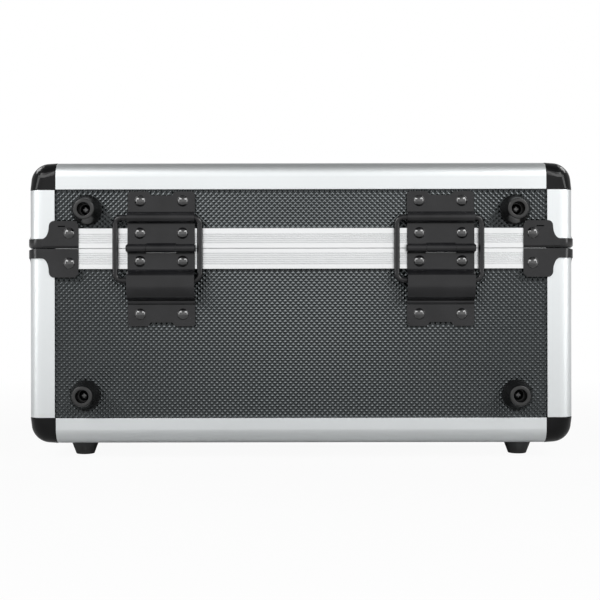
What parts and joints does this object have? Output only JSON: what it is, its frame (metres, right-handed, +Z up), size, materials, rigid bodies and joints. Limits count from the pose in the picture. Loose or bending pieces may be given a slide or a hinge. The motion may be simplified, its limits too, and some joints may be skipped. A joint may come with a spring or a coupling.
{
  "type": "microphone case",
  "caption": "Aluminium-edged carrying case for microphones with a hinged lid, ring lid stays, draw latches, a carry handle and a foam insert with wells.",
  "frame": {"origin": "middle of the whole part's box in X and Y, on the plane the rubber feet stand on", "axes": "+Z up; -Y towards the hinged back that the picture shows, +Y towards the latches and handle; +X to the right as seen from the hinged back"},
  "size_m": [0.4166, 0.2996, 0.223],
  "materials": {
    "laminate": "black plastic laminate embossed with small pyramids, on plywood",
    "ribbed_aluminium": "satin anodised, finely ribbed",
    "satin_aluminium": "satin anodised, smooth",
    "gloss_plastic": "glossy black moulding",
    "black_fastener": "glossy black enamel",
    "black_steel": "satin black powder coat",
    "rubber": "matt black moulded rubber",
    "grip_rubber": "fine-grained black soft grip",
    "foam": "charcoal open-cell foam",
    "bright_steel": "zinc-plated"
  },
  "bodies": {
    "base": {"base_bottom_panel": "laminate", "base_rear_panel": "laminate", "base_front_panel": "laminate", "base_side_panels": "laminate", "base_edge_rear": "satin_aluminium", "base_edge_front": "satin_aluminium", "base_edge_sides": "satin_aluminium", "base_corner_posts": "satin_aluminium", "base_corner_caps": "gloss_plastic", "base_rim_rear": "ribbed_aluminium", "base_rim_front": "ribbed_aluminium", "base_rim_sides": "ribbed_aluminium", "base_corner_brackets": "black_steel", "base_bracket_rivets": "black_fastener", "feet": "rubber", "foot_screws": "black_fastener", "base_bumpers": "rubber", "base_bumper_screws": "black_fastener", "hinge_lower_leaf_left": "black_steel", "hinge_lower_leaf_right": "black_steel", "hinge_lower_rivets": "black_fastener", "hinge_pins": "black_steel", "latch_plates": "black_steel", "latch_plate_rivets": "black_fastener", "latch_pivot_pins": "bright_steel", "handle_brackets": "black_steel", "handle_rivets": "black_fastener", "foam_floor": "foam", "foam_walls": "foam", "foam_dividers": "foam"},
    "lid": {"lid_top_panel": "laminate", "lid_rear_panel": "laminate", "lid_front_panel": "laminate", "lid_side_panels": "laminate", "lid_edge_rear": "satin_aluminium", "lid_edge_front": "satin_aluminium", "lid_edge_sides": "satin_aluminium", "lid_corner_posts": "satin_aluminium", "lid_corner_caps": "gloss_plastic", "lid_rim_rear": "ribbed_aluminium", "lid_rim_front": "ribbed_aluminium", "lid_rim_sides": "ribbed_aluminium", "lid_corner_brackets": "black_steel", "lid_bracket_rivets": "black_fastener", "lid_bumpers": "rubber", "lid_bumper_screws": "black_fastener", "hinge_upper_leaf_left": "black_steel", "hinge_upper_leaf_right": "black_steel", "hinge_upper_rivets": "black_fastener", "latch_keepers": "black_steel", "keeper_rivets": "black_fastener", "lid_foam": "foam"},
    "stay_left": {"stay_ring_left": "black_steel"},
    "stay_right": {"stay_ring_right": "black_steel"},
    "lever_left": {"latch_lever_left": "black_steel"},
    "lever_right": {"latch_lever_right": "black_steel"},
    "claw_left": {"latch_claw_left": "black_steel"},
    "claw_right": {"latch_claw_right": "black_steel"},
    "carry_handle": {"handle_bar": "bright_steel", "handle_grip": "grip_rubber"}
  },
  "joints": [
    {"name": "lid_hinge", "type": "hinge", "parent": "base", "child": "lid", "pos_m": [0, -0.14061, 0.1578], "axis": [1, 0, 0], "range_deg": [0, 82]},
    {"name": "stay_pivot_left", "type": "hinge", "parent": "lid", "child": "stay_left", "pos_m": [-0.1047, -0.13966, 0.1808], "axis": [1, 0, 0], "range_deg": [-53, 0]},
    {"name": "stay_pivot_right", "type": "hinge", "parent": "lid", "child": "stay_right", "pos_m": [0.1047, -0.13966, 0.1808], "axis": [1, 0, 0], "range_deg": [-53, 0]},
    {"name": "latch_lever_left", "type": "hinge", "parent": "base", "child": "lever_left", "pos_m": [-0.1047, 0.13824, 0.1418], "axis": [1, 0, 0], "range_deg": [0, 80]},
    {"name": "latch_claw_left", "type": "hinge", "parent": "lever_left", "child": "claw_left", "pos_m": [-0.1047, 0.14166, 0.1324], "axis": [1, 0, 0], "range_deg": [-93, 0]},
    {"name": "latch_lever_right", "type": "hinge", "parent": "base", "child": "lever_right", "pos_m": [0.1047, 0.13824, 0.1418], "axis": [1, 0, 0], "range_deg": [0, 80]},
    {"name": "latch_claw_right", "type": "hinge", "parent": "lever_right", "child": "claw_right", "pos_m": [0.1047, 0.14166, 0.1324], "axis": [1, 0, 0], "range_deg": [-93, 0]},
    {"name": "handle_swing", "type": "hinge", "parent": "base", "child": "carry_handle", "pos_m": [0, 0.14124, 0.1158], "axis": [1, 0, 0], "range_deg": [0, 100]}
  ],
  "couplings": [
    {"joint": "stay_pivot_left", "follows": "lid_hinge", "ratio": -0.605},
    {"joint": "stay_pivot_right", "follows": "lid_hinge", "ratio": -0.605},
    {"joint": "latch_claw_left", "follows": "latch_lever_left", "ratio": -1.15},
    {"joint": "latch_claw_right", "follows": "latch_lever_right", "ratio": -1.15}
  ]
}
